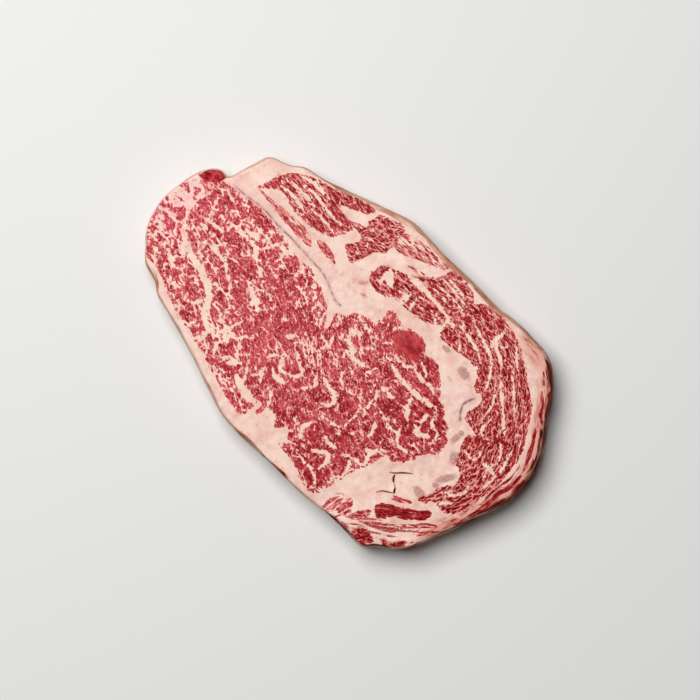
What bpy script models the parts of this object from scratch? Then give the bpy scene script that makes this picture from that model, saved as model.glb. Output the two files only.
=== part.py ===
"""A raw, heavily marbled boneless rib steak, lying flat on its cut side.

The steak is one piece of meat, so it is one solid: the flat underside, the wall of cover
fat that was trimmed all the way round, and the cut face on top with the seam of fat between
the eye of the rib and the cap, which curls round it.

Frame: +X along the length, from the chine end to the cap end. +Y across, towards the back
fat. +Z up. The origin is at the middle of the underside's box. Lengths are in millimetres
up to the last step, which makes them metres.
"""

import math

import bmesh
import bpy
from mathutils import Vector, geometry

MM = 0.001

# Driving sizes.
THICKNESS = 23.5      # from the board to the cut face, over the middle
END_THINNING = 1.6    # how much thinner the chine end was cut than the cap end
HALF_LENGTH = 107.0
HALF_WIDTH = 62.5

# The widest line round the steak, seen from above, anticlockwise from the chine end.
CHINE_END = [(-107.5, -8), (-106.3, -17), (-103, -25), (-98, -30.5), (-92.5, -36)]
LOWER_SIDE = [(-83.5, -39.4), (-78, -43.1), (-68, -45.6), (-50, -51), (-33, -57), (-22, -60.9),
              (-10, -62.5), (3, -62.1), (16, -62.4), (31, -62.4), (45, -60.8), (58, -60.4)]
CAP_END = [(67.5, -60.8), (73, -56), (80, -51), (85.5, -45.5), (88, -38.5), (92, -28.5),
           (98.5, -11), (102.2, 0), (103.2, 11), (101, 22), (95.5, 32), (89, 41)]
BACK_SIDE = [(83, 50.5), (76.5, 57), (69, 61.7), (58, 62.8), (46, 62.8), (35, 61.4), (20, 62.1),
             (3, 61.9), (-7, 62.7), (-18, 62.8), (-27, 60), (-38, 56.4), (-50, 52), (-62, 48.4),
             (-71, 46.4), (-76, 42.6), (-85.5, 38.7), (-88, 33)]
CHINE_CORNER = [(-91, 24), (-92.6, 18.3)]
TORN_NUB = [(-96.8, 19.4), (-101.7, 15.6), (-105, 9), (-107, 0)]
OUTLINE = CHINE_END + LOWER_SIDE + CAP_END + BACK_SIDE + CHINE_CORNER + TORN_NUB
OUTLINE_STEPS = 180

# The wall, from the underside up to the cut face.
WALL_RINGS = 14
BELLY_SHARE = 0.38    # height of the widest line, as a share of the thickness
FOOT_TUCK = 4.5       # how far the underside's edge stands in from the widest line
RIM_TUCK = 2.2        # how far the cut face's edge stands in from it, on the fat side
CAP_SPREAD = 3.4      # how much further it stands in at the cap end, where the wall slopes
CAP_FACING = 12.0     # the way the sloping wall faces, in degrees from +X
WALL_FULLNESS = 0.66  # 1 makes the wall's section an ellipse, and less makes it squarer

# Folds that run along the wall: first and last share of the outline, height share, depth.
FOLDS = [(0.06, 0.15, 0.72, 1.4), (0.19, 0.35, 0.68, 2.2), (0.36, 0.45, 0.15, 1.6),
         (0.44, 0.58, 0.70, 1.6), (0.58, 0.68, 0.62, 2.4), (0.70, 0.84, 0.66, 1.5),
         (0.86, 0.95, 0.17, 1.5)]
FOLD_WIDTH = 0.085    # of the thickness
WAVE_DEPTH = 0.8      # swells and knife marks up the wall, none of them past the widest line
WAVES_ROUND = (7, 19, 37)

# The cut face. It swells over each muscle and sinks along the seam of fat between them.
LATTICE = 4.0
SWELL = 1.1
SWELL_MARGIN = 16.0
SEAM = [(-92, 20), (-70, 20.5), (-45, 19.5), (-28, 20), (-12, 21.5), (0, 27), (14, 29.5),
        (28, 28.5), (42, 25.5), (53, 18), (60, 6), (67, -6), (66, -17), (59, -28), (49, -38),
        (42, -49), (40, -60)]
SEAM_DEPTH = 0.8
SEAM_WIDTH = 7.0
BRUISE = (19.0, 20.5)  # a smooth dark bundle of lean that stands proud at the eye's edge
BRUISE_RADIUS = 7.5
BRUISE_HEIGHT = 0.8


def clear_scene():
    for thing in list(bpy.data.objects):
        bpy.data.objects.remove(thing)


def smooth_step(value):
    value = min(max(value, 0.0), 1.0)
    return value * value * (3 - 2 * value)


def catmull_rom(before, start, end, after, t):
    """A point between start and end, on the smooth curve through all four."""
    return 0.5 * (2 * start + (end - before) * t
                  + (2 * before - 5 * start + 4 * end - after) * t * t
                  + (3 * start - before - 3 * end + after) * t ** 3)


def closed_curve(corners, steps):
    """Evenly spaced points along the smooth closed curve through the corners."""
    corners = [Vector(corner) for corner in corners]
    count, fine = len(corners), []
    for i, start in enumerate(corners):
        before, end, after = corners[i - 1], corners[(i + 1) % count], corners[(i + 2) % count]
        fine += [catmull_rom(before, start, end, after, k / 16) for k in range(16)]
    fine.append(fine[0])
    travelled = [0.0]
    for here, there in zip(fine, fine[1:]):
        travelled.append(travelled[-1] + (there - here).length)
    points, k = [], 0
    for i in range(steps):
        goal = travelled[-1] * i / steps
        while travelled[k + 1] < goal:
            k += 1
        share = (goal - travelled[k]) / (travelled[k + 1] - travelled[k])
        points.append(fine[k].lerp(fine[k + 1], share))
    return points


def inward_normals(points):
    """Unit vectors that point into an anticlockwise outline, smoothed over the neighbours."""
    count, normals = len(points), []
    for i in range(count):
        along = points[(i + 2) % count] - points[i - 2]
        normals.append(Vector((-along.y, along.x)).normalized())
    return normals


def distance_to_path(point, path):
    nearest = math.inf
    for start, end in zip(path, path[1:]):
        start, end = Vector(start), Vector(end)
        span = end - start
        share = min(max((point - start).dot(span) / span.length_squared, 0.0), 1.0)
        nearest = min(nearest, (point - start - span * share).length)
    return nearest


def cut_face_height(point, rim):
    """Height of the cut face over the underside at a point of the plan."""
    height = THICKNESS + END_THINNING * (point.x / HALF_LENGTH - 1) / 2
    margin = distance_to_path(point, rim)
    height += SWELL * (smooth_step(margin / SWELL_MARGIN) - 1)
    height -= SEAM_DEPTH * math.exp(-(distance_to_path(point, SEAM) / SEAM_WIDTH) ** 2)
    off_centre = (point - Vector(BRUISE)).length / BRUISE_RADIUS
    return height + BRUISE_HEIGHT * math.exp(-off_centre ** 4)


def fold_depth(share, level):
    """How far the wall is drawn in by its folds, at a share of the outline and of the height."""
    depth = 0.0
    for first, last, middle, deepest in FOLDS:
        if first < share < last:
            window = math.sin(math.pi * (share - first) / (last - first)) ** 0.7
            wander = 0.06 * math.sin(38 * share)
            depth += deepest * window * math.exp(-((level - middle - wander) / FOLD_WIDTH) ** 2)
    return depth


def knife_wave(share, level):
    waves = sum(math.sin(2 * math.pi * n * share + 1.7 * n + 5 * level) for n in WAVES_ROUND)
    away_from_belly = min(abs(level - BELLY_SHARE) / (1 - BELLY_SHARE), 1.0)
    return WAVE_DEPTH * (1 + waves / len(WAVES_ROUND)) * math.sin(math.pi * away_from_belly)


def rim_tuck(normal):
    """How far in the cut face's edge stands: most at the cap end, where the wall slopes."""
    outward = math.atan2(-normal.y, -normal.x) - math.radians(CAP_FACING)
    return RIM_TUCK + CAP_SPREAD * max(math.cos(outward), 0.0) ** 1.5


def wall_section(ring):
    """Share of the tuck and signed share of the half height, on a squared ellipse."""
    turn = -math.pi / 2 + math.pi * ring / WALL_RINGS
    inward = 1 - math.cos(turn) ** WALL_FULLNESS if 0 < ring < WALL_RINGS else 1.0
    rise = math.copysign(abs(math.sin(turn)) ** WALL_FULLNESS, turn)
    return inward, rise


def steak_rings():
    """The wall's rings of points, from the underside's edge to the cut face's."""
    outline = closed_curve(OUTLINE, OUTLINE_STEPS)
    normals = inward_normals(outline)
    top_edge = [p + n * rim_tuck(n) for p, n in zip(outline, normals)]
    rim = top_edge[::3] + top_edge[:1]
    tops = [cut_face_height(p, rim) for p in top_edge]
    rings = []
    for ring in range(WALL_RINGS + 1):
        inward, rise = wall_section(ring)
        points = []
        for i, (place, normal) in enumerate(zip(outline, normals)):
            belly = tops[i] * BELLY_SHARE
            tuck = FOOT_TUCK if rise < 0 else rim_tuck(normal)
            height = belly + rise * (belly if rise < 0 else tops[i] - belly)
            level, share = height / tops[i], i / OUTLINE_STEPS
            draw_in = tuck * inward
            if 0 < ring < WALL_RINGS:
                draw_in += fold_depth(share, level) + knife_wave(share, level)
            flat = place + normal * draw_in
            points.append(Vector((flat.x, flat.y, height)))
        rings.append(points)
    return rings, rim


def lattice_inside(rim):
    """Staggered points of the plan that lie clear of the rim."""
    row_gap = LATTICE * math.sqrt(3) / 2
    rows, columns = int(HALF_WIDTH / row_gap), int(HALF_LENGTH / LATTICE)
    found = []
    for row in range(-rows, rows + 1):
        for column in range(-columns, columns + 1):
            point = Vector(((column + 0.5 * (row % 2)) * LATTICE, row * row_gap))
            if is_inside(point, rim) and distance_to_path(point, rim) > 0.6 * LATTICE:
                found.append(point)
    return found


def is_inside(point, rim):
    inside = False
    for a, b in zip(rim, rim[1:]):
        if (a.y > point.y) != (b.y > point.y):
            crossing = a.x + (point.y - a.y) * (b.x - a.x) / (b.y - a.y)
            inside ^= point.x < crossing
    return inside


def build_wall(mesh, rings):
    """Faces between the rings, and the one flat face that the steak lies on."""
    rows = [[mesh.verts.new(point) for point in ring] for ring in rings]
    for lower, upper in zip(rows, rows[1:]):
        for i in range(OUTLINE_STEPS):
            j = (i + 1) % OUTLINE_STEPS
            mesh.faces.new((lower[i], lower[j], upper[j], upper[i]))
    mesh.faces.new(reversed(rows[0]))
    return rows[-1]


def build_cut_face(mesh, edge, rim):
    """Triangles over the top, from its edge and a lattice of points inside."""
    plan = [vert.co.to_2d() for vert in edge]
    inside = lattice_inside(plan + plan[:1])
    ring = list(range(len(plan)))
    borders = list(zip(ring, ring[1:] + ring[:1]))
    _, _, faces, origins, _, _ = geometry.delaunay_2d_cdt(plan + inside, borders, [ring], 1, 1e-6)
    verts = list(edge)
    for point in inside:
        verts.append(mesh.verts.new((point.x, point.y, cut_face_height(point, rim))))
    for face in faces:
        mesh.faces.new([verts[origins[corner][0]] for corner in face])


def raw_beef():
    """Marbled lean and fat mixed to one colour: soft pink red with a moist surface."""
    material = bpy.data.materials.new("raw_beef")
    material.use_nodes = True
    shader = material.node_tree.nodes["Principled BSDF"]
    shader.inputs["Base Color"].default_value = (0.55, 0.17, 0.15, 1.0)
    shader.inputs["Roughness"].default_value = 0.42
    shader.inputs["Metallic"].default_value = 0.0
    return material


def centre_on_underside(mesh):
    """Puts the origin at the middle of the box, on the underside, and makes it metres."""
    places = [vert.co for vert in mesh.verts]
    low = Vector([min(p[i] for p in places) for i in range(3)])
    high = Vector([max(p[i] for p in places) for i in range(3)])
    middle = (low + high) / 2
    for vert in mesh.verts:
        vert.co = (vert.co - Vector((middle.x, middle.y, low.z))) * MM


def build_steak():
    rings, rim = steak_rings()
    mesh = bmesh.new()
    edge = build_wall(mesh, rings)
    build_cut_face(mesh, edge, rim)
    bmesh.ops.recalc_face_normals(mesh, faces=mesh.faces)
    centre_on_underside(mesh)
    data = bpy.data.meshes.new("steak")
    mesh.to_mesh(data)
    mesh.free()
    data.shade_smooth()
    data.materials.append(raw_beef())
    steak = bpy.data.objects.new("steak", data)
    bpy.context.scene.collection.objects.link(steak)


clear_scene()
build_steak()
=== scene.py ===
"""A raw, heavily marbled boneless rib steak, lying on its lower cut.

The steak is one piece of meat. Across the cut run the big eye of the rib, the cap that
curls round its back and end, a few small tail muscles, and the seams of hard white fat
between them. The wall is the cover fat that was trimmed all the way round.

Frame: metres, +X from the chine end to the cap end, +Y towards the back fat, +Z up.
The muscles are drawn in millimetres on a plan of the cut face.
"""

import math

import bmesh
import bpy
import numpy as np
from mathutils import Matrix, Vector, geometry, noise
from mathutils.bvhtree import BVHTree


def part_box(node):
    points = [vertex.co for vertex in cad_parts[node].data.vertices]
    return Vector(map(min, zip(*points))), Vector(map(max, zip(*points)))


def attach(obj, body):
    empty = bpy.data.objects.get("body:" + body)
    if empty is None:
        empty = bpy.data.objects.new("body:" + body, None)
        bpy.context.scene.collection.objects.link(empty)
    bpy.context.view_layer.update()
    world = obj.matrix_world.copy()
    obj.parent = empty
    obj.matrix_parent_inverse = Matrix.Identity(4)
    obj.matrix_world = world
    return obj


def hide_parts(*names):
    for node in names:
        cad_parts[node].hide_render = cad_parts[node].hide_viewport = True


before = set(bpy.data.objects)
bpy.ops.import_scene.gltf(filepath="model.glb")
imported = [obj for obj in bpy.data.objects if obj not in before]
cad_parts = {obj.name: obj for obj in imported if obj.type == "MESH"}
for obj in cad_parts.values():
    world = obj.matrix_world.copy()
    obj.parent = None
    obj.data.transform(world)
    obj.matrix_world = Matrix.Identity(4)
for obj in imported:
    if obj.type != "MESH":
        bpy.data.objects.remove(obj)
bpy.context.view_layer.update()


# -------- The slab
# One slice across the rib, an inch thick, cut with one long stroke of a knife. Its skin
# is a fine closed mesh wrapped over the solid: rings of points round the wall, which roll
# over onto both cuts, and a lattice of points across each cut.

MM = 0.001
STATIONS = 720        # points in one ring round the wall
RINGS = 37            # rings from the underside's edge over the wall to the cut face
AXIS_IN = 6.0         # how far inside the widest line the rings' common axis runs
BELLY = 0.38          # height of the widest line, as a share of the thickness
TOP_GAP = 0.62        # between the points of the cut face
UNDER_GAP = 1.35      # between the points of the underside
SPLIT_GAP = 0.2       # between the points along a split, in a band SPLIT_BAND wide
SPLIT_BAND = 1.4
WALL_SOFT = 1.3       # edges of the wall finer than this are rounded off
# A place on a level is one complex number. This one is where the plan's zero lies on the slab.
PLAN_DATUM = 2.15-0.15j
# Splits in the hard fat below the cap: width, then the course on the plan.
CRACKS = [
    (0.5, 53.4-26.8j, 55.3-25.6j, 57.8-23j, 61.6-20j),
    (0.75, 55.8-26.1j, 56.4-27.6j, 57.4-28.6j, 58.2-29j),
    (0.30, 57.4-28.6j, 58.6-29.2j, 60.3-30.5j, 60.9-31.8j),
    (0.80, 60-30.2j, 60.8-31.6j, 61.5-32.3j),
    (0.42, 61.6-32.2j, 60-33.2j, 58.3-34.3j, 56.5-35.6j, 55.2-37.6j)]

low, high = (np.array(corner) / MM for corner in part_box("steak"))
thickness = high[2]

solid = bmesh.new()
solid.from_mesh(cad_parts["steak"].data)
bmesh.ops.scale(solid, vec=(1 / MM,) * 3, verts=solid.verts)
bmesh.ops.remove_doubles(solid, verts=solid.verts, dist=1e-3)
hull = BVHTree.FromBMesh(solid)


def soften_loop(loop, spacing, sigma):
    """A closed run of evenly spaced values, with everything finer than sigma rounded off."""
    waves = np.fft.fftfreq(len(loop), spacing)
    shape = np.exp(-2 * (np.pi * waves * sigma) ** 2)
    shape = shape.reshape((-1,) + (1,) * (loop.ndim - 1))
    return np.fft.ifft(np.fft.fft(loop, axis=0) * shape, axis=0)


def widest_line():
    """The line where a level cut meets the wall, anticlockwise from the chine end."""
    cut = bmesh.ops.bisect_plane(
        solid, geom=solid.verts[:] + solid.edges[:] + solid.faces[:],
        plane_co=(0, 0, BELLY * thickness), plane_no=(0, 0, 1))["geom_cut"]
    edges = {edge for edge in cut if isinstance(edge, bmesh.types.BMEdge)}
    first = here = next(iter(edges)).verts[0]
    walked, before = [], None
    while not walked or here is not first:
        walked.append(complex(here.co.x, here.co.y))
        onward = [edge.other_vert(here) for edge in here.link_edges if edge in edges]
        before, here = here, onward[0] if onward[0] is not before else onward[1]
    line = np.array(walked)
    if np.sum(line.real * np.roll(line.imag, -1) - line.imag * np.roll(line.real, -1)) < 0:
        line = line[::-1]
    return np.roll(line, -int(np.argmin(line.real)))


def travel(line):
    """How far along a line each of its points lies."""
    return np.r_[0.0, np.cumsum(np.abs(np.diff(line)))]


def evenly(line, count):
    """Evenly spaced points along a closed line, and the distance between them."""
    closed = np.append(line, line[0])
    travelled = travel(closed)
    goals = np.arange(count) * travelled[-1] / count
    return np.interp(goals, travelled, closed), travelled[-1] / count


def section(count):
    """Evenly spaced aims on a squared half ellipse: how far out, and how far up."""
    turn = np.linspace(-math.pi / 2, math.pi / 2, 600)
    out = AXIS_IN * np.cos(turn).clip(0) ** 0.5
    up = thickness / 2 * np.sign(turn) * np.abs(np.sin(turn)) ** 0.5
    travelled = travel(out + 1j * up)
    goals = np.linspace(0, travelled[-1], count)
    return np.interp(goals, travelled, out), np.interp(goals, travelled, up)


def depth_inside(places, outline):
    """Distance of each place of the plan from a closed outline, positive inside it."""
    nearest = np.full(len(places), np.inf)
    inside = np.zeros(len(places), bool)
    px, py = places.real.copy(), places.imag.copy()
    for start, end in zip(outline, np.roll(outline, -1)):
        sx, sy = (end - start).real, (end - start).imag
        ox, oy = px - start.real, py - start.imag
        share = np.clip((ox * sx + oy * sy) / (sx * sx + sy * sy), 0, 1)
        nearest = np.minimum(nearest, (ox - share * sx) ** 2 + (oy - share * sy) ** 2)
        crossed = (start.imag > py) != (end.imag > py)
        inside ^= crossed & ((sx * oy - sy * ox > 0) == (sy > 0))
    return np.where(inside, 1.0, -1.0) * np.sqrt(nearest)


def lattice(rim, gap):
    """Staggered points of the plan that lie clear of the rim."""
    rows = np.arange(low[1], high[1], gap * math.sqrt(3) / 2)
    points = np.array([x + 0.5 * gap * (k % 2) + 1j * y for k, y in enumerate(rows)
                       for x in np.arange(low[0], high[0], gap)])
    return points[depth_inside(points, rim) > 0.55 * gap]


def ribbon(path, width, gap):
    """A narrow lattice of points along an open path of the plan."""
    line = np.array(path)
    travelled = travel(line)
    along = np.interp(np.arange(0, travelled[-1], gap), travelled, line)
    aside = 1j * np.gradient(along) / np.abs(np.gradient(along))
    lanes = np.arange(-width / 2, width / 2 + 0.1 * gap, gap)
    return (along[:, None] + aside[:, None] * lanes).ravel()


def fine_wall():
    """The rings' points on the solid, as rings by stations by (x, y, z)."""
    line, spacing = evenly(widest_line(), STATIONS)
    line = soften_loop(line, spacing, 1.0)
    broad = soften_loop(line, spacing, 5.0)
    along = np.roll(broad, -1) - np.roll(broad, 1)
    inward = 1j * along / np.abs(along)
    axis = line + AXIS_IN * inward
    out, up = section(RINGS)
    points = np.empty((RINGS, STATIONS, 3))
    for k in range(STATIONS):
        start = Vector((axis[k].real, axis[k].imag, thickness / 2))
        for ring in range(RINGS):
            aim = Vector((-inward[k].real * out[ring], -inward[k].imag * out[ring], up[ring]))
            points[ring, k] = hull.ray_cast(start, aim)[0]
    soft = soften_loop(points.transpose(1, 0, 2), spacing, WALL_SOFT).real.transpose(1, 0, 2)
    for _ in range(2):
        inner = 0.25 * soft[:-2] + 0.5 * soft[1:-1] + 0.25 * soft[2:]
        soft = np.r_[soft[:1], inner, soft[-1:]]
    return soft, line, inward


wall, girth, inward = fine_wall()
under_rim = wall[0, :, 0] + 1j * wall[0, :, 1]
top_rim = wall[-1, :, 0] + 1j * wall[-1, :, 1]
under_plan = lattice(under_rim, UNDER_GAP)
top_plan = lattice(top_rim, TOP_GAP)
splits = np.concatenate([ribbon(course, SPLIT_BAND, SPLIT_GAP) for _, *course in CRACKS])
splits = np.unique((splits + PLAN_DATUM).round(1))
apart = np.abs(top_plan[:, None] - splits[::3]).min(axis=1)
top_plan = np.r_[top_plan[apart > 0.5], splits]


def sheet_faces(rim, inner):
    """Triangles over one cut, as indices into the rim's points followed by the inner ones."""
    ring = list(range(len(rim)))
    plan = [Vector((p.real, p.imag)) for p in np.r_[rim, inner]]
    borders = list(zip(ring, ring[1:] + ring[:1]))
    _, _, faces, origins, _, _ = geometry.delaunay_2d_cdt(plan, borders, [ring], 1, 1e-6, True)
    faces = np.array([[origins[corner][0] for corner in face] for face in faces])
    across = np.all(faces < len(rim), axis=1)
    across[across] = depth_inside(rim[faces[across]].mean(axis=1), rim) < 0
    return faces[~across]


def heights(plan):
    """Where rays straight down meet the solid."""
    return np.array([hull.ray_cast(Vector((p.real, p.imag, thickness + 5)), Vector((0, 0, -1)))[0][2]
                     for p in plan])


def relax(values, faces, fixed, rounds):
    """Evens out a height over a sheet of triangles, with the rim's heights kept."""
    ends = np.r_[faces[:, [0, 1]], faces[:, [1, 2]], faces[:, [2, 0]]]
    ends = np.unique(np.sort(ends, axis=1), axis=0)
    a, b = ends[:, 0], ends[:, 1]
    count = np.bincount(a, minlength=len(values)) + np.bincount(b, minlength=len(values))
    for _ in range(rounds):
        total = np.bincount(a, values[b], len(values)) + np.bincount(b, values[a], len(values))
        moved = total / np.maximum(count, 1)
        values = np.r_[values[:fixed], moved[fixed:]]
    return values


top_faces = sheet_faces(top_rim, top_plan)
under_faces = sheet_faces(under_rim, under_plan)
top_z = relax(np.r_[wall[-1, :, 2], heights(top_plan)], top_faces, STATIONS, 40)

top_points = np.c_[top_plan.real, top_plan.imag, top_z[STATIONS:]]
under_points = np.c_[under_plan.real, under_plan.imag, np.zeros(len(under_plan))]
points = np.r_[wall.reshape(-1, 3), top_points, under_points]

station = np.arange(STATIONS)
onward = (station + 1) % STATIONS
quads = np.concatenate([
    np.c_[ring * STATIONS + station, ring * STATIONS + onward,
          (ring + 1) * STATIONS + onward, (ring + 1) * STATIONS + station]
    for ring in range(RINGS - 1)])
first_top, first_under = RINGS * STATIONS, RINGS * STATIONS + len(top_plan)
to_mesh = np.r_[(RINGS - 1) * STATIONS + station, first_top + np.arange(len(top_plan))]
top_faces = to_mesh[top_faces]
to_mesh = np.r_[station, first_under + np.arange(len(under_plan))]
under_faces = to_mesh[under_faces][:, ::-1]


def new_object(name, data):
    """An object in the scene, at its origin."""
    made = bpy.data.objects.new(name, data)
    bpy.context.scene.collection.objects.link(made)
    return made


slab_mesh = bpy.data.meshes.new("steak_slab")
faces = quads.tolist() + top_faces.tolist() + under_faces.tolist()
slab_mesh.from_pydata((points * MM).tolist(), [], faces)
slab_mesh.shade_smooth()
slab = new_object("steak_slab", slab_mesh)


# -------- The muscles
# The knife went across the muscles, so each shows as one closed outline on the cut and
# runs down through the slab, leaning a little on the way. They are drawn on the plan in
# millimetres. The fibres lie in bundles, and the web of fine fat runs between these.

LEAN_TO = 2.2-1.4j    # how far the muscles wander from the cut face to the underside

EYE = [
    -93+15j, -88+16j, -80+17.5j, -73+18j, -65+17.5j, -55+16j, -42+14j, -36+14.5j, -30+12j, -24+10j,
    -19+7j, -16+3.5j, -13-0.5j, -12+1j, -14+8j, -9.5+10j, -9+13j, -7+15j, -3+16j, 0+16j, 2+19j,
    3.5+21j, 2+25j, 6+26.5j, 11+25j, 19+27j, 25+26j, 28+22.5j, 32+24j, 36+22.5j, 40+19.5j, 44+15.5j,
    47+12.5j, 52+10.5j, 54+7.5j, 57+7j, 59+4j, 62.5+0j, 63-6.5j, 60.5-8.5j, 57-14j, 55.5-18j,
    50-23j, 48-22j, 46.5-23j, 45.5-27j, 44-31j, 41-38j, 39.5-45j, 38.5-50j, 37.5-55j, 35-58j,
    32-58.5j, 28-57.5j, 19-54j, 14-53j, 8-53j, 11-49j, 9.5-48j, 5.5-44j, 2-48.5j, -2-44j, -7-44.5j,
    -7-47j, -9-51j, -10-45j, -12-45j, -12-51j, -13-54.5j, -15-55.5j, -26-53j, -37.5-49.6j,
    -44-47.6j, -55-44.2j, -68-41.2j, -74-38.8j, -79.5-36.4j, -88-33.8j, -94-33j, -98.5-29.5j,
    -101-26.5j, -103.8-21j, -105.6-10j, -105.3+0j, -102.5+6j, -99.5+9.5j]
CAP_LEFT = [
    -79.5+24j, -77+30j, -76+34j, -72+40j, -64+45j, -55+47.5j, -45+52j, -38+54j, -33+53.5j, -35+50j,
    -40+47.5j, -46+44j, -35+41j, -35+39j, -38+34j, -40+31j, -48+28.5j, -58+28j, -70+30.5j, -75+27.5j]
CAP_STRIP = [-79+24j, -65+25.5j, -52+26j, -45+24j, -44+21j, -60+21.5j, -70+23j]
CAP_LENS = [-43+26j, -37+27.5j, -29.5+23.5j, -40+24j]
CAP_MIDDLE = [
    -30+54j, -25+55.5j, -20+57.5j, -17+55j, -17+43j, -20+41j, -22+36j, -25+29j, -31+32j, -33+33j,
    -30+37j, -30+41j, -40+42j, -31+45.5j, -32+48j]
CAP_TOP = [-17+55j, -10+57.5j, 0+58.5j, 8+59j, 8+56.5j, -3+51.5j, -12+47.5j, -17+48.5j]
CAP_SLIVER = [-6+46j, 2+48.5j, 10+49.5j, 2+46.5j]
CAP_MAIN = [
    -14+38j, -14.5+30j, -6+28j, 0+31j, 10+31.5j, 20+34j, 24+37j, 29+32.5j, 41+34j, 50+33.5j, 53+29j,
    55+26.5j, 60+26.5j, 61+22j, 60+18j, 61+14.5j, 70+12j, 67+10j, 67+7j, 70+1j, 72-3.5j, 76-4.5j,
    78-7j, 77.5-11j, 74-17j, 73-22j, 70-27j, 74-26j, 77-23j, 83-23j, 88-19j, 90-14j, 92+0j, 92.5+8j,
    90.5+20j, 85+30j, 79+39j, 75+42j, 66+48.5j, 56+55j, 52+57j, 37+59j, 30+56.5j, 28+54j, 25+57j,
    12+60j, 8+52j, 0+45j, -8+41j]
TAIL_DARK = [
    59-42j, 62-37.5j, 66-36j, 70-33.5j, 75-30j, 77-27.5j, 80-27j, 80-31j, 77-34.5j, 73-37j,
    69-39.5j, 66.5-42.5j, 63-46j]
TAIL_SPLINTER = [61-34.5j, 63-32j, 66-31j, 70-29.3j, 70.5-31j, 67-33.3j, 63-35j]
TAIL_BEAD = [54-52j, 56-48j, 59-45j, 60-48.5j, 57.5-53j, 54.5-54.5j]
TAIL_PALE = [42.5-59.5j, 42.5-51j, 45-48.5j, 50-47.5j, 52.5-51j, 54-54j, 51-56j, 49.5-59.5j]
TAIL_EDGE = [60-56j, 61-53.5j, 66-52.5j, 69.5-54.5j, 70.5-58j, 68-60.5j, 60.5-60.5j]
TAIL_THREAD = [70-44j, 74-39.5j, 78-35.5j, 82-31j, 87-29j, 84-32.5j, 79-37.5j, 75-41j]
TAIL_SPOTS = [72-50.5j, 76-49.5j, 77-47j, 80-43.8j, 82-45j, 81-48.5j, 77.5-51j, 74.5-54j, 72-52j]
TAIL_BASE = [52.5-59.8j, 54-57.5j, 57.5-57.8j, 57-59.8j]


def smooth_curve(corners, gap, closed=True):
    """Points about gap apart on the smooth curve through the corners."""
    corners = np.array(corners)
    ends = (corners[-1:], corners[:2]) if closed else (corners[:1], corners[-1:])
    run = np.r_[ends[0], corners, ends[1]]
    found = []
    for before, a, b, after in zip(run, run[1:], run[2:], run[3:]):
        t = np.linspace(0, 1, max(int(abs(b - a) / gap), 1), endpoint=False)
        found.append(0.5 * (2 * a + (b - before) * t + (2 * before - 5 * a + 4 * b - after) * t ** 2
                            + (3 * a - before - 3 * b + after) * t ** 3))
    return np.concatenate(found + ([] if closed else [corners[-1:]]))


def beside(places, line, reach):
    """Which places lie within reach of the box that holds a line."""
    return ((places.real > line.real.min() - reach) & (places.real < line.real.max() + reach)
            & (places.imag > line.imag.min() - reach) & (places.imag < line.imag.max() + reach))


def depth_within(places, outline, reach=7.0):
    """Signed depth in an outline, worked out only near it and no lower than -reach."""
    depth = np.full(len(places), -reach)
    near = beside(places, outline, reach)
    depth[near] = np.maximum(depth_inside(places[near], outline), -reach)
    return depth


def nearest_on(places, line):
    """Distance from an open line, signed to its left, and how far along it that is."""
    nearest, side, along = np.array([[np.inf], [0.0], [0.0]]).repeat(len(places), axis=1)
    travelled = 0.0
    for start, end in zip(line, line[1:]):
        length = abs(end - start)
        off = (places - start) * np.conj(end - start) / length
        share = np.clip(off.real, 0, length)
        gap = np.hypot(off.real - share, off.imag)
        closer = gap < nearest
        nearest[closer], side[closer] = gap[closer], np.sign(off.imag)[closer]
        along[closer] = travelled + share[closer]
        travelled += length
    return nearest * side, along


def near_line(places, width, course, reach=5.0, tapered=False):
    """How far a place lies inside a stroke of the given width, worked out only near it."""
    depth = np.full(len(places), -reach)
    line = smooth_curve(course, 1.0, closed=False)
    near = beside(places, line, reach)
    gap, along = nearest_on(places[near], line)
    share = along / np.sum(np.abs(np.diff(line)))
    half = width / 2 * (np.sin(math.pi * np.clip(share, 0.02, 0.98)) ** 0.4 if tapered else 1.0)
    depth[near] = half - np.abs(gap)
    return depth


def eye_grain(plan):
    """Bundles of the eye: level at the chine end, falling across the middle, level again."""
    x, y = plan.real, plan.imag
    fall = 0.16 * (x + 30) + 6.5 * np.tanh((x + 12) / 22)
    return x, y + fall


def along_grain(*path):
    """Bundles that run beside a path of the plan."""
    line = smooth_curve(path, 2.0, closed=False)

    def grain(plan):
        side, along = nearest_on(plan, line)
        return along, side
    return grain


def slanted(degrees):
    """Straight bundles, turned by an angle."""

    def grain(plan):
        turned = plan * np.exp(-1j * math.radians(degrees))
        return turned.real, turned.imag
    return grain


round_the_eye = along_grain(-30+46j, -14+44j, 8+43j, 28+45j, 48+42j, 63+34j, 74+22j, 81+6j, 83-8j,
                            79-24j, 72-40j)
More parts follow.
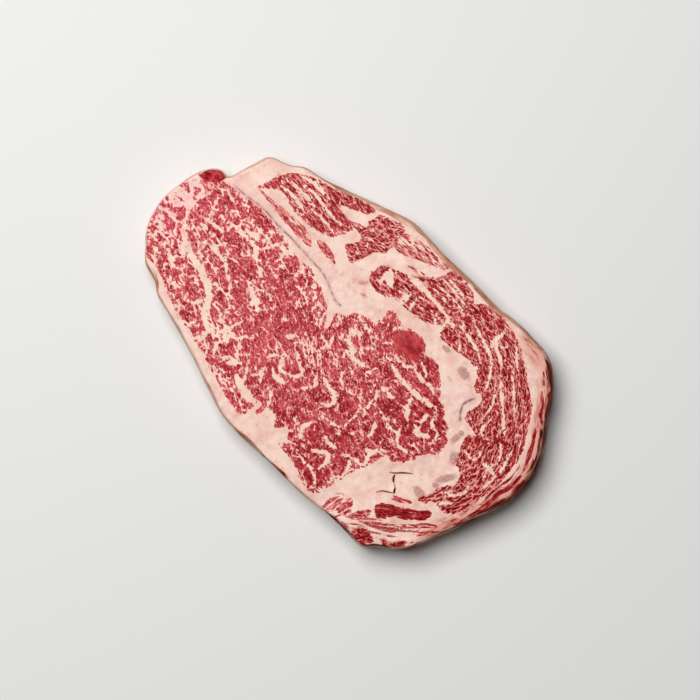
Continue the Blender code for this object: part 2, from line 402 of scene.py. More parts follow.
# Outline, grain, fine bundle width in mm, stretch along the fibres, fat in the coarse seams,
# fat in the fine lines along the fibres, darkness.
MUSCLES = [
    (EYE, eye_grain, 1.9, 1.4, 0.08, -0.01, 0.1),
    (CAP_LEFT, slanted(-6), 1.1, 2.8, -0.2, 0.02, 0.75),
    (CAP_STRIP, slanted(-4), 1.0, 4.0, 0.0, 0.03, 0.3),
    (CAP_LENS, slanted(-12), 1.0, 3.0, -0.2, 0.02, 0.5),
    (CAP_MIDDLE, slanted(20), 1.1, 2.2, -0.15, 0.02, 0.85),
    (CAP_TOP, slanted(3), 1.0, 4.0, 0.0, 0.03, 0.7),
    (CAP_SLIVER, slanted(8), 1.0, 4.0, 0.1, 0.03, 0.3),
    (CAP_MAIN, round_the_eye, 1.2, 2.2, -0.15, 0.02, 0.85),
    (TAIL_DARK, slanted(38), 1.2, 3.5, -0.9, -0.03, 1.2),
    (TAIL_SPLINTER, slanted(30), 0.9, 4.0, 0.0, 0.02, 0.3),
    (TAIL_BEAD, slanted(50), 1.1, 2.5, -0.5, 0.01, 0.4),
    (TAIL_PALE, slanted(72), 1.0, 3.0, 0.2, 0.03, 0.4),
    (TAIL_EDGE, slanted(30), 1.6, 1.6, -0.6, 0.0, 1.4),
    (TAIL_THREAD, slanted(42), 0.8, 5.0, 0.0, 0.02, 0.5),
    (TAIL_SPOTS, slanted(45), 1.8, 1.5, -0.8, 0.0, 1.4),
    (TAIL_BASE, slanted(10), 1.0, 2.0, -0.2, 0.02, 0.5),
]
# Beyond the cap, between it and the wall, lean shows only as threads: width, then course.
THREADS = [
    (1.5, 77.5+47j, 82+43j, 85+38.5j, 88.5+36j), (1.1, 84+44j, 88+39j, 91+35j),
    (1.6, 87+33j, 91+27j, 94+21j, 96.5+15j), (1.2, 89.5+34j, 93+29.5j, 95.5+26j),
    (1.2, 96+22.5j, 99.5+18j), (1.9, 97+13j, 97+6j, 95.5+0j, 95-8j, 94-14j, 91-24j),
    (1.0, 99.5+13j, 99+5j), (1.3, 100.5+3j, 99-6j, 97-13j), (1.0, 72+54j, 77+49.5j),
    (0.8, 93+17j, 94.5+8j, 93+0j, 93-9j), (0.9, 60-52j, 66-47j, 72-42j),
    (0.8, 62-50.5j, 70-46j, 76-40j), (0.7, 66-50j, 72-46j, 78-40j, 83-36j),
    (1.3, 82-39j, 86-33j, 89-30j), (0.7, 52-56j, 60-50j, 64-47j), (0.6, 88-26j, 90-18j, 91.5-10j),
    (0.9, 84-44j, 88-37j), (0.6, 54-58.5j, 64-50.5j, 74-43.5j, 82-37j),
    (0.5, 50-56.5j, 58-50.5j, 66-45j), (0.6, 56-59.5j, 63-54j, 70-50j, 77-45j),
    (0.5, 66-54j, 74-50.5j, 80-45.5j, 86-39j), (0.7, 72-44.5j, 80-38.5j, 87-32j),
    (0.5, 58-52.5j, 68-48.5j), (1.2, 99.5-12j, 98-19j, 95.5-24j), (1.0, 97.5+24j, 94+31j, 90+36j),
    (0.8, 101+10j, 101.5+2j, 100.5-6j), (1.0, 80+49j, 86+43j)]
# Within a muscle the marbling is richer or poorer from place to place, and so is its colour:
# where, how far that reaches, extra fat, darkness.
PATCHES = [
    (-101+0j, 9, 0.45, -0.4), (-97-14j, 9, 0.2, -0.2), (-82+14j, 8, -0.1, 0.1),
    (-84-28j, 9, 0.0, 0.1), (-45+3j, 11, -0.15, -0.05), (-28-4j, 12, -0.3, 0.0),
    (-24-14j, 9, -0.25, -0.05), (-40-24j, 8, -0.2, -0.15), (-3-32j, 10, -0.4, 0.0),
    (-22-30j, 9, -0.3, 0.0), (-12-38j, 8, -0.2, 0.0), (-2+4j, 8, 0.1, 0.1), (10+5j, 10, 0.0, 0.1),
    (15-18j, 8, -0.3, 0.1), (40-4j, 12, -0.35, 0.3), (50+3j, 8, -0.2, 0.3), (34+19j, 9, -0.35, 0.3),
    (30-30j, 10, -0.25, 0.2), (28-52j, 9, -0.25, 0.5), (80-12j, 14, -0.4, 0.4),
    (84+8j, 12, -0.2, 0.3), (40-5j, 26, -0.12, 0.25), (18-42j, 16, -0.1, 0.35),
    (84-8j, 15, -0.2, 0.45), (-20-36j, 16, -0.2, 0.0), (-75-5j, 26, -0.1, 0.0),
    (10-8j, 40, -0.1, 0.0), (70+10j, 40, -0.12, 0.1), (70+40j, 12, -0.1, 0.1),
    (30+48j, 14, 0.0, 0.1), (0+40j, 8, 0.0, 0.35), (80-18j, 14, -0.25, 0.3),
    (-45+47j, 5, -0.5, 0.4), (-60+43j, 6, 0.3, 0.0)]


def fading(places, middle, reach):
    """1 in the middle of a round spot, and almost nothing at twice its reach."""
    return np.exp(-(np.abs(places - middle) / reach) ** 2)


height_share = points[:, 2] / thickness
plan = points[:, 0] + 1j * points[:, 1] - PLAN_DATUM + LEAN_TO * (1 - height_share)
lean = np.full(len(plan), -7.0)
bundles, bundle_width = np.zeros((len(plan), 3)), np.full(len(plan), 2.0)
seam_fat, line_fat, darkness = np.zeros((3, len(plan)))
for outline, grain, width, stretch, seam, line, dark in MUSCLES:
    depth = depth_within(plan, smooth_curve(outline, 1.2))
    mine = depth > lean
    along, across = grain(plan[mine])
    bundles[mine] = np.c_[along / (width * stretch), across / width, points[mine, 2] / width]
    lean[mine], bundle_width[mine] = depth[mine], width
    seam_fat[mine], line_fat[mine], darkness[mine] = seam, line, dark
for width, *course in THREADS:
    depth = near_line(plan, 1.35 * width, course, tapered=True)
    mine = depth > lean
    along, across = along_grain(*course)(plan[mine])
    bundles[mine] = np.c_[along / 5.0, across, points[mine, 2]] + (course[0].real, 0, 0)
    lean[mine], bundle_width[mine] = depth[mine], 1.0
    seam_fat[mine], line_fat[mine], darkness[mine] = -0.3, -0.02, 0.8
for middle, reach, fat, dark in PATCHES:
    share = fading(plan, middle, reach)
    seam_fat, darkness = seam_fat + fat * share, darkness + dark * share


# -------- The thick veins of fat
# Where the web between the bundles is thickest it shows as branching veins. Each is a
# line on the plan with the vein's width at its middle; both ends run out to nothing.

VEINS = [
    (3.2, -95-3j, -93.5-7j, -91-11j, -86-15.5j, -80-18.5j, -74-20j, -69-21.5j, -64-23.5j, -60-27j,
     -58-32j, -54-36j, -50-37j, -46-36.5j, -43-36j), (1.6, -89-17j, -86-19j, -83-20.5j, -79-20j),
    (1.7, -70-34.5j, -66-34.5j, -63-32.5j, -62-29j), (1.0, -76-29j, -74-32j, -71-34j),
    (1.8, -73+11j, -73+7j, -71+4.5j, -65+4.5j, -61+4j, -58+1j, -53-2j, -48-5j, -46-8j),
    (1.2, -71+10.5j, -64+11j, -59+10.5j, -57.5+7j, -60+4j), (1.6, -57.5+7j, -55+11j, -53+15j),
    (1.5, -79-8j, -79-11j, -76-13j), (1.7, -78-9.5j, -70-10j, -66-10.5j, -62-13j, -57-16j),
    (1.3, -89+9j, -87.5+5j, -86+1j, -85-3j, -86-7j, -89-12j), (0.9, -84-5j, -78-5.5j, -71-6j),
    (1.1, -97-25j, -90-24j, -85-26j), (1.0, -98-20j, -92-19j, -88-22j),
    (2.3, -51-9.5j, -47-12j, -43-14j, -39.5-16.5j), (1.1, -45-8j, -41-7.5j, -38.5-9.5j),
    (2.6, -47.2+6.2j, -46.2+6.4j), (2.4, -30.8+10j, -29+9.6j),
    (1.3, -36+4.5j, -31+4.5j, -28+3j, -25.5+2j), (1.2, -28.5+8.5j, -26+6.5j, -25+4j),
    (1.1, -22.6+7j, -23+3j, -22.6+0.5j), (1.0, -20+5j, -19+1j, -17-2j), (1.3, -30.5+1j, -29-2.5j),
    (1.0, -41+11j, -38+14j), (1.0, -31-9j, -27-10.5j), (1.9, -23-15j, -20.5-12.5j),
    (0.6, -19-8j, -12-10.5j, -5-16j), (0.6, -21-11j, -13-14j, -6-19j),
    (0.6, -17-16j, -9-20j, -5-24j), (0.6, -14-7j, -7-10j, -1-15j),
    (0.6, -24-19j, -17-21.5j, -12-22j),
    (1.5, -28-26j, -24-27j, -21-25j, -18-22.5j, -16.5-25.5j, -14.5-27.8j, -10-27j, -7-24.5j,
     -6.5-21j), (1.9, -17.5-30j, -14-31.5j, -9.5-31j, -8-29j),
    (1.7, -20.5-32j, -19.5-35j, -17.5-38j), (1.0, -19-36j, -23-39j),
    (1.9, -51-29.5j, -46-31j, -42-31.8j, -38-31j, -36-28.5j, -33.5-26.5j),
    (1.6, -38-31j, -35-33.5j, -33-37j, -29-38.5j), (1.5, -43-27j, -44.5-31j, -47-36.5j),
    (1.7, -43-36j, -43-40j, -40-45j), (1.8, -51-37j, -50-41j, -49.5-45j),
    (2.3, -34-42j, -30.5-39.5j), (4.0, -27-43.5j, -22-45.5j, -17-46.5j, -12-46.5j),
    (1.0, -27-37j, -24.5-40j, -22-45j), (1.2, -11-37j, -8.5-41j, -7-45j),
    (1.3, -4.5+12j, -1+5j, -3+2j), (2.2, -8-4.5j, -5.5-5.5j), (1.9, 0-1.2j, 5-1.2j, 10-0.7j, 14+1j),
    (2.0, -2+3.5j, 0.5+2j), (2.0, 2-17j, 7-18.5j, 10-18.5j, 13-21j, 12.6-24j, 9.5-26j),
    (1.3, -1-19j, 1.4-22j, 0-25j, -2-29j), (0.8, 9-30j, 15-29.6j, 22-28j, 24.5-25j),
    (1.6, 14-33j, 11.5-36.5j, 11-40j, 14-44j), (2.4, 12.5-42.5j, 13.5-44j),
    (1.8, 21-44j, 24-42j, 27-40.5j, 29.5-43j, 29-48j),
    (1.2, 15-50.5j, 20-50j, 27-50.5j, 31-53j, 34-56j), (1.2, 35-44j, 36.5-48j, 37.5-52j),
    (1.5, 20-35j, 24-36.6j, 28.5-36j), (1.1, 12-12j, 15-13.5j, 19-12j),
    (0.7, 20-1j, 22-6j, 21-11j, 23.5-16j, 24.5-21j, 24-27j), (0.7, 25-6j, 25.5-12j, 27-17j),
    (1.3, 23.5-4j, 26-8j, 28-11j), (1.5, 23-0.6j, 27-2j, 31-1.5j),
    (2.0, 20+9j, 25+7.6j, 31+6.8j, 37+6.6j, 43+7.6j, 49+8j), (0.8, 15+11j, 19+13j, 24+12j, 28+15j),
    (1.6, 29+15j, 34+13.4j, 39+14j, 43+12.6j), (1.0, 29+19j, 33+17.5j, 35+15j),
    (2.2, 37+4.5j, 38.5+0j, 40.5-2.5j, 43-4j), (1.6, 47.5+4j, 47.6+0j, 46-2j),
    (1.4, 50+5.5j, 52+2j, 56+1j), (2.9, 46.5-2j, 49-4.6j, 52-5j, 54.5-3j),
    (1.2, 56.5+1.5j, 58-2j, 57-5j), (1.3, 30-9.5j, 35-11j, 39-12.4j, 43-12j),
    (1.3, 43-9j, 44-12j, 47-15j, 52-15j, 55-13j), (1.0, 49.5-12j, 53-10.8j, 57-11j),
    (1.2, 33-15j, 35-19j, 34.5-23j),
    (1.6, 46.5-21j, 42.5-23j, 41.5-28j, 42.5-33j, 37-33.8j, 32-36j), (1.2, 38-36j, 39-42j, 38-47j),
    (3.0, -3+43.2j, 5+43.2j, 12+43j), (1.6, 10+43j, 18+42.6j, 25+41.5j),
    (0.9, 10+46.4j, 15+46.6j, 21+46j), (0.9, 11+49j, 18+49.2j, 26+48.6j),
    (1.0, 9+52.4j, 17+52.2j, 25+51j), (1.2, 12+54.5j, 19+54j, 22+53.4j),
    (1.8, 45.8+57j, 46.8+53j, 46.2+50j, 49+47j, 54+44.5j, 57+42j),
    (1.4, 34+48j, 41+45.8j, 47+43.6j, 52+40.5j, 56+35j, 59+29.5j),
    (1.0, 30+42.8j, 37+41.8j, 44+39.8j, 49+37j), (1.2, 55+54j, 59+50j, 63+46.5j),
    (1.6, 4.2+38j, 4.6+34j, 4+30j), (1.2, 7.8+37.6j, 8.2+34j, 9+31j),
    (3.8, -10+39j, -7.6+36.4j, -4.4+33.6j), (1.5, -10.2+39j, -10+34j, -8.6+31j),
    (1.3, -9+33j, -11+31.6j), (1.4, -0.5+34.8j, 2.6+35.8j, 3.4+32j),
    (1.2, 19+39.6j, 20.2+37j, 22.5+35j), (1.4, 24.5+41j, 24.6+38j, 25.6+35j),
    (1.2, 35+37.8j, 37+35j, 38+32.5j),
    (1.5, 58+40j, 62+36.4j, 67+32j, 71.5+28j, 75.5+24j, 79+21.5j),
    (1.0, 60+35j, 64+30j, 65.8+26j, 66.6+19j), (1.0, 63+43j, 68+38.5j, 73+34j, 76+30j),
    (1.2, 69.5+22j, 69.4+18j, 71+14.6j, 76+15j), (1.1, 80.5+17j, 84+13.5j, 85+9j),
    (1.9, 80.5+5j, 84+5.6j, 88+5j), (1.0, 85+9j, 84+5j, 86+0j),
    (1.1, 70.5+3.6j, 75+3.4j, 77.4+5.4j, 76+9j), (1.0, 88.4+12j, 89+5j, 88.4-4j),
    (1.2, 83-6j, 84.2-10j, 82-13.4j, 79-17j), (1.0, 77.6-10.5j, 79-14j, 76-18j),
    (1.5, 84-16.5j, 80-20.4j, 76-25j), (0.9, 86+20j, 87.5+14j, 90+8j),
    (1.3, -70+36.4j, -62+36.8j, -55+36j), (1.6, -72+32j, -64+32.6j, -56+31j),
    (1.2, -66+39.4j, -58+40j, -48+38.6j, -40+38j), (1.8, -68+42j, -60+43.4j, -52+43j),
    (1.2, -56+34j, -48+34.4j, -40+33.4j)]
vein = np.full(len(plan), -4.0)
for width, *course in VEINS:
    vein = np.maximum(vein, near_line(plan, width, course, tapered=True))


# -------- What the cut and the hook left
# Small things that lie on the slab: the silverskin beside the eye, vessels cut across in
# the seam fat, a wet bruise, dried and bared places round the wall, whose darkest brown and
# its roll onto the cut on the right-hand side are partly painted shade, and the lie of the
# surface itself. Everything sinks below the solid's own skin, and nothing rises above it.

SILVERSKIN = [
    (0.8, -88+17.3j, -80+18j, -70+19j, -60+18.3j, -50+18.2j, -40+17.5j, -32+17j, -27+15.5j,
     -24+14.3j, -20+12.5j, -17+11.8j, -15+12j),
    (1.1, 58+24j, 56.5+21j, 56+18.5j, 57+15.5j, 59+13j, 60+12j)]
# Ovals: middle, half length, half breadth, turn in degrees.
VESSELS = [
    (46.4+28.6j, 3.4, 2.1, -10), (64.3+8.4j, 1.3, 1.2, 0), (64.1+5j, 2.6, 1.5, 80),
    (69.6-2.3j, 2.8, 1.8, -46), (70.5+0.5j, 1.6, 1.2, 0), (73.4-11.3j, 5.0, 1.6, 59),
    (72.3-16.7j, 1.6, 1.4, 0), (69.3-24.2j, 3.3, 1.9, -9), (33+31j, 2.2, 1.2, 0)]
BRUISE = (19+20.5j, 9.5, 6.3)
BLOOD_SMEAR = [(-14.5+26.5j, 3.4, 1.7, 60), (-10.5+22.5j, 2.6, 1.2, 20)]
PALE_END = (-100-8j, 20, 26)
NUB = (-99+15.5j, 8.0, 6.0, 35)
POCKET = (16-61j, 7.0)    # a hollow half-way up the wall
POCKET_DEEP = 2.4
SINK = 0.26               # how far the cut face lies below the solid on average
LUMPS, PITS, CREASES, GRAIN = 0.17, 0.10, 0.34, 0.08    # its relief, from broad to fine
SPLIT_DEEP, SPLIT_LIP = 1.8, 0.22
FOLDS, DENTS = 0.34, 0.4  # relief of the wall
DEEPEST = 3.0             # the most that any part of the skin goes inside the solid
# Round the wall: where, how far that reaches, dried to tan, bared to lean with its darkest
# brown partly painted shade, and how many millimetres the wall's own colours come over the
# edge onto the cut. The large bared and roll values on the right-hand side paint the shaded
# wall there, and lay its dark band onto the cut as painted shade.
WALL = [
    (-25+60j, 22, 1.0, 0.0, 3.6), (5+61j, 22, 1.0, 0.1, 3.8), (35+60j, 20, 1.0, 0.2, 3.8),
    (58+59j, 12, 0.9, 0.4, 3.6), (74+55j, 12, 0.9, 1.2, 4.0), (86+46j, 11, 0.9, 1.5, 4.6),
    (95+34j, 9, 1.3, 1.0, 5.8), (101+20j, 10, 1.4, 1.2, 5.6), (103+8j, 9, 1.3, 1.4, 5.2),
    (102-4j, 12, 1.0, 1.5, 4.6), (98-18j, 12, 1.0, 1.5, 4.0), (92-32j, 10, 1.0, 0.7, 3.4),
    (84-46j, 12, 0.9, 0.9, 3.0), (74-56j, 11, 0.8, 0.9, 2.6), (54-61j, 12, 0.7, 0.8, 2.4),
    (17-62j, 8, 0.4, 1.2, 3.0), (-4-61j, 12, 1.0, 0.2, 2.2), (-84-39j, 10, 1.0, 0.3, 2.3),
    (-60-47j, 12, 0.4, 0.0, 1.2), (-35-55j, 14, 0.4, 0.1, 1.2), (-52+51j, 15, 0.9, 0.2, 3.0),
    (-98+16j, 7, 0.0, 1.0, 0.4), (-104-20j, 9, 0.3, 0.0, 0.3), (-74+43j, 9, 0.6, 0.0, 1.6)]


def blot(places, middle, wide, tall, turn=0.0):
    """1 in the middle of an oval, 0 on its edge, and less than that outside."""
    off = (places - middle) * np.exp(-1j * math.radians(turn))
    return 1 - np.hypot(off.real / wide, off.imag / tall)


def rough(places, scale, octaves=2, offset=0.0):
    """Smooth noise between about -1 and 1 at points given as rows of three."""
    spots = (np.asarray(places) / scale + offset).tolist()
    return np.array([noise.fractal(Vector(spot), 1.0, 2.0, octaves) for spot in spots])


def rough_above(places, *sizes):
    """Smooth noise on the wall and the cut face, and 0 on the underside."""
    return np.append(rough(places[:first_under], *sizes), np.zeros(len(points) - first_under))


def eased(value, start, end):
    """0 up to the start, 1 from the end, and a smooth rise between them."""
    share = np.clip((value - start) / (end - start), 0, 1)
    return share * share * (3 - 2 * share)


silver = np.max([near_line(plan, width, course) for width, *course in SILVERSKIN], axis=0)
vessel = np.max([blot(plan, *spot) for spot in VESSELS], axis=0)
bruise = blot(plan, *BRUISE)
smear = np.max([blot(plan, *spot) for spot in BLOOD_SMEAR], axis=0)
crack = np.max([near_line(plan, width, course, tapered=True) for width, *course in CRACKS], axis=0)
bloom = 0.6 * eased(blot(plan, *PALE_END), 0.0, 0.6)
flush = eased(plan.real + 0.3 * plan.imag, 60, 88)
# Dried and bared shares round the wall. The bared share and the roll also carry painted shade on the
# right-hand side.
dried, bared_and_shade, rolled_and_shade = np.full(len(plan), 0.15), np.zeros(len(plan)), np.full(len(plan), 0.2)
for middle, reach, tan_share, lean_and_shade_share, roll in WALL:
    share = fading(plan, middle, reach)
    dried, bared_and_shade = np.maximum(dried, tan_share * share), np.maximum(bared_and_shade, lean_and_shade_share * share)
    rolled_and_shade = np.maximum(rolled_and_shade, roll * share)
skirt = evenly(girth - PLAN_DATUM, 240)[0]
inset, along_wall = nearest_on(plan, np.append(skirt, skirt[0]))
around = np.c_[along_wall, inset, points[:, 2]]
patchy = rough(around * (0.5, 0.0, 1.0), 7.0, 3, 4.4)
bared_and_shade = bared_and_shade * (0.72 + 0.35 * eased(height_share, 0.35, 0.8)) + bared_and_shade.clip(0, 1) * patchy
dried = dried + 0.35 * np.roll(patchy, 7)

# The lie of the surface: how far down each point of the cut face sinks, and how far in each
# point of the wall is pushed.
on_top = np.zeros(len(points))
on_top[first_top:first_under] = 1.0
on_top[:first_top] = eased(np.repeat(np.arange(RINGS), STATIONS) / (RINGS - 1), 0.80, 0.97)
lumps = rough(points, 9.0, 2)
pits = rough_above(points, 2.6, 2, 5.1)
grain_bumps = rough_above(bundles, 1.0, 2, 1.7)
in_lean = eased(lean, -0.2, 1.2) * (1 - eased(vein, -0.8, 0.3))
creases = rough_above(points * (0.7, 1.0, 1.0), 5.0, 3, 12.4)
sink = SINK + LUMPS * lumps + PITS * pits + CREASES * creases * (1 - in_lean)
sink += in_lean * (0.12 + GRAIN * grain_bumps)
sink += 0.35 * eased(bruise, 0.0, 0.7) - 0.12 * eased(vessel, -0.3, 0.5)
torn = eased(blot(plan, *NUB), 0.0, 0.3)
torn = torn * eased(height_share + 0.3 * patchy, 0.30, 0.52)
sink += torn * (0.8 + 2.2 * rough(points, 2.4, 3, 2.3).clip(-1, 1))
sink += SPLIT_DEEP * eased(crack, -0.12, 0.25)
sink -= SPLIT_LIP * eased(crack, -1.5, -0.3) * (crack < -0.2)
points[:, 2] -= on_top * sink.clip(0, DEEPEST)

wall_run = around[:first_top] * (0.16, 1.0, 0.55)
folds = rough(wall_run, 2.6, 3, 3.9)
dents = rough(around[:first_top], 11.0, 2, 8.3)
push = 0.12 + FOLDS * folds + DENTS * dents
height = points[:first_top, 2] / thickness
push += POCKET_DEEP * fading(plan[:first_top], *POCKET) * np.exp(-((height - 0.5) / 0.2) ** 2)
push += 0.8 * torn[:first_top] * (1 + rough(points[:first_top], 1.9, 2, 6.7))
push = push.clip(0, DEEPEST) * (1 - on_top[:first_top]) * eased(height, 0.0, 0.12)
points[:first_top, 0] += push * np.tile(inward.real, RINGS)
points[:first_top, 1] += push * np.tile(inward.imag, RINGS)
points[:, 2] = points[:, 2].clip(0, thickness)
slab_mesh.vertices.foreach_set("co", (points * MM).astype(np.float32).ravel())
slab_mesh.update()

# The map for baked pictures: the cut face, a smaller underside, and the wall in strips, each
# with its lower left corner and size.
TOP_AT, TOP_WIDE = (0.002, 0.004), 0.992
UNDER_AT, UNDER_WIDE = (0.004, 0.620), 0.545
WALL_AT, WALL_LONG, WALL_HIGH = (0.570, 0.620), 0.42, 0.080
STRIPS, STRIP_STEP = 4, 0.090
corner_point = np.empty(len(slab_mesh.loops), int)
slab_mesh.loops.foreach_get("vertex_index", corner_point)
facing = np.empty(len(slab_mesh.polygons) * 3, np.float32)
slab_mesh.polygons.foreach_get("normal", facing)
facing = facing.reshape(-1, 3)[:, 2]
corners = np.array([len(face) for face in faces])
on_wall = np.repeat((np.abs(facing) < 0.5) & (corners == 4), corners)
below = np.repeat(facing < 0, corners)
flat = (points[corner_point, :2] - low[:2]) / (high[0] - low[0])
uv = np.where(below[:, None], UNDER_AT + UNDER_WIDE * flat, TOP_AT + TOP_WIDE * flat)
quarter = STATIONS // STRIPS
turn = np.zeros(len(corner_point))
turn[: 4 * len(quads)] = (np.tile(station, RINGS - 1)[:, None] + (0, 1, 1, 0)).ravel()
first = np.zeros(len(corner_point))
first[: 4 * len(quads)] = np.repeat(np.tile(station // quarter, RINGS - 1), 4)
up_wall = WALL_HIGH * points[corner_point, 2] / thickness
strip = np.c_[WALL_AT[0] + WALL_LONG * (turn / quarter - first),
              WALL_AT[1] + STRIP_STEP * first + up_wall]
uv = np.where(on_wall[:, None], strip, uv)
bake_map = slab_mesh.uv_layers.new(name="OFBake")
bake_map.data.foreach_set("uv", uv.astype(np.float32).ravel())


# -------- The meat's finish
# Raw beef, just cut: moist red lean with a web of fat through it, and firm white fat
# between the muscles.


def keep(name, *values):
    """Stores three values for each point of the slab, for the finish."""
    attribute = slab_mesh.attributes.new(name, "FLOAT_VECTOR", "POINT")
    attribute.data.foreach_set("vector", np.column_stack(values).astype(np.float32).ravel())


up = np.empty(len(points) * 3, np.float32)
slab_mesh.vertex_normals.foreach_get("vector", up)
wallness = 1 - eased(np.abs(up.reshape(-1, 3)[:, 2]), 0.35, 0.88)
keep("tissue", lean / bundle_width, vein / bundle_width, line_fat)
keep("bundles", *bundles.T)
keep("tone", darkness, seam_fat, torn)
keep("wall", wallness, dried, bared_and_shade)
keep("marks", silver, vessel, crack)
keep("bruise", bruise, rolled_and_shade - np.abs(inset), bloom)
keep("flush", flush, smear.clip(-1, 1), np.zeros(len(plan)))
keep("around", *around.T)


def linear(red, green, blue):
    """A screen colour from 0 to 255 as the shader wants it."""
    return tuple((c / 255 / 12.92) if c < 11 else ((c / 255 + 0.055) / 1.055) ** 2.4
                 for c in (red, green, blue)) + (1.0,)


def fill(sockets, values):
    """Wires each value to its socket, by name or number, or sets it there."""
    for name, value in dict(values).items():
        if isinstance(value, bpy.types.NodeSocket):
            value.id_data.links.new(value, sockets[name])
        else:
            sockets[name].default_value = value


def add(tree, kind, inputs=(), **settings):
    """A node with its settings made and its inputs filled."""
    made = tree.nodes.new(kind)
    for name, value in settings.items():
        setattr(made, name, value)
    fill(made.inputs, inputs)
    return made


def home(*values):
    """The tree of the first socket among the values."""
    return next(value.id_data for value in values if isinstance(value, bpy.types.NodeSocket))


def sum_maker(kind, operation):
    """A function that puts that sum on the values it is given."""
    def made(*values):
        return add(home(*values), kind, enumerate(values), operation=operation).outputs[0]
    return made


plus, minus, times, divided, larger, size_of, times_plus = (
    sum_maker("ShaderNodeMath", operation)
    for operation in "ADD SUBTRACT MULTIPLY DIVIDE MAXIMUM ABSOLUTE MULTIPLY_ADD".split())
moved, stretched, taken = (sum_maker("ShaderNodeVectorMath", operation)
                           for operation in "ADD MULTIPLY SUBTRACT".split())


def scaled(vector, factor):
    """A vector times one number."""
    return add(vector.id_data, "ShaderNodeVectorMath", {0: vector, "Scale": factor},
               operation="SCALE").outputs[0]


def ramp(value, low_end, high_end, to_low=0.0, to_high=1.0):
    """Eases a value from to_low to to_high between two limits."""
    return add(value.id_data, "ShaderNodeMapRange",
               {"Value": value, "From Min": low_end, "From Max": high_end, "To Min": to_low,
                "To Max": to_high}, interpolation_type="SMOOTHSTEP").outputs["Result"]


def clouds(vector, scale, detail=2.0, roughness=0.5, output="Fac"):
    """Noise about 0.5; the colour output has one for each direction."""
    return add(vector.id_data, "ShaderNodeTexNoise",
               {"Vector": vector, "Scale": scale, "Detail": detail, "Roughness": roughness}
               ).outputs[output]


def cells(vector, feature, output):
    """The fine bundles: the distance from their edges, or a colour for each."""
    return add(vector.id_data, "ShaderNodeTexVoronoi", {"Vector": vector, "Scale": 1.0},
               feature=feature).outputs[output]


def blend(share, first, second, mode="MIX"):
    """Mixes two colours, each a socket or a screen colour from 0 to 255."""
    first, second = (linear(*colour) if isinstance(colour, tuple) else colour
                     for colour in (first, second))
    return add(home(share, first, second), "ShaderNodeMix", {0: share, 6: first, 7: second},
               data_type="RGBA", blend_type=mode).outputs[2]


def tint(base, value, start, end, share, colour):
    """Lays a colour over a base, up to a share, where the value nears the end."""
    return blend(ramp(value, start, end, 0.0, share), base, colour)


def new_group(name, inputs, outputs):
    """A shader group. An input has its kind, or the number that it starts with."""
    group = bpy.data.node_groups.new(name, "ShaderNodeTree")
    for label, start in inputs.items():
        kind = start if isinstance(start, str) else "Float"
        socket = group.interface.new_socket(label, in_out="INPUT", socket_type="NodeSocket" + kind)
        if kind == "Float":
            socket.default_value = start
    for label, kind in outputs.items():
        group.interface.new_socket(label, in_out="OUTPUT", socket_type="NodeSocket" + kind)
    given, result = (group.nodes.new(f"NodeGroup{way}") for way in ("Input", "Output"))
    return group, given.outputs, result.inputs


def marbling_group():
    """How deep a place lies in the fat, in fine-bundle widths, and the mask of fat itself.

    Coarse seams run round groups of bundles and swell and vanish along their way. The fine
    bundles bulge into every seam like beads, so that its edges are scalloped.
    """
    group, given, result = new_group(
        "marbling",
        {"Bundles": "Vector", "Depth": -3.0, "Group size": 2.8, "Seam": 0.0, "Seam range": 1.5,
         "Thread": -0.4, "Thread range": 0.8, "Reach": 0.28, "Bulge": 1.25, "Edge": 0.07,
         "Line": -1.0, "Line range": 0.14, "Line scale": 0.75, "Halo": 0.3},
        {"Fat": "Float", "Bead": "Color", "Near": "Float", "Rich": "Float"})
    place = given["Bundles"]
    half = (0.5, 0.5, 0.5)
    broad = taken(clouds(place, 0.45, 1, output="Color"), half)
    fine = taken(clouds(place, 1.9, output="Color"), half)
    bent = moved(moved(place, scaled(broad, 1.6)), scaled(fine, 0.5))
    beads = cells(bent, "DISTANCE_TO_EDGE", "Distance")
    groups = cells(scaled(bent, divided(1.0, given["Group size"])), "DISTANCE_TO_EDGE", "Distance")
    groups = times(groups, given["Group size"])
    swell = minus(clouds(moved(place, (7.3, 2.9, 4.1)), 0.6, 2, 0.6), 0.5)
    seam = minus(times_plus(swell, given["Seam range"], given["Seam"]), groups)
    stray = minus(clouds(moved(place, (1.7, 8.2, 3.3)), 0.8, 2, 0.6), 0.5)
    thread = times_plus(stray, given["Thread range"], given["Thread"])
    depth = plus(larger(larger(seam, thread), given["Depth"]), given["Reach"])
    inside = minus(depth, times(beads, given["Bulge"]))
    fat = ramp(divided(inside, given["Edge"]), -1.0, 1.0)
    near = ramp(divided(inside, given["Halo"]), -1.0, 0.0)
    ridge = clouds(moved(place, (4.2, 6.6, 0.9)), given["Line scale"], 1)
    ridge = size_of(minus(ridge, 0.5))
    line = times_plus(stray, given["Line range"], given["Line"])
    line = divided(minus(line, ridge), 0.02)
    fill(result, {"Fat": larger(fat, ramp(line, -1.0, 1.0)), "Bead": cells(bent, "F1", "Color"),
                  "Near": larger(near, ramp(line, -4.0, 0.0)), "Rich": ramp(inside, 0.0, 0.14)})
    return group


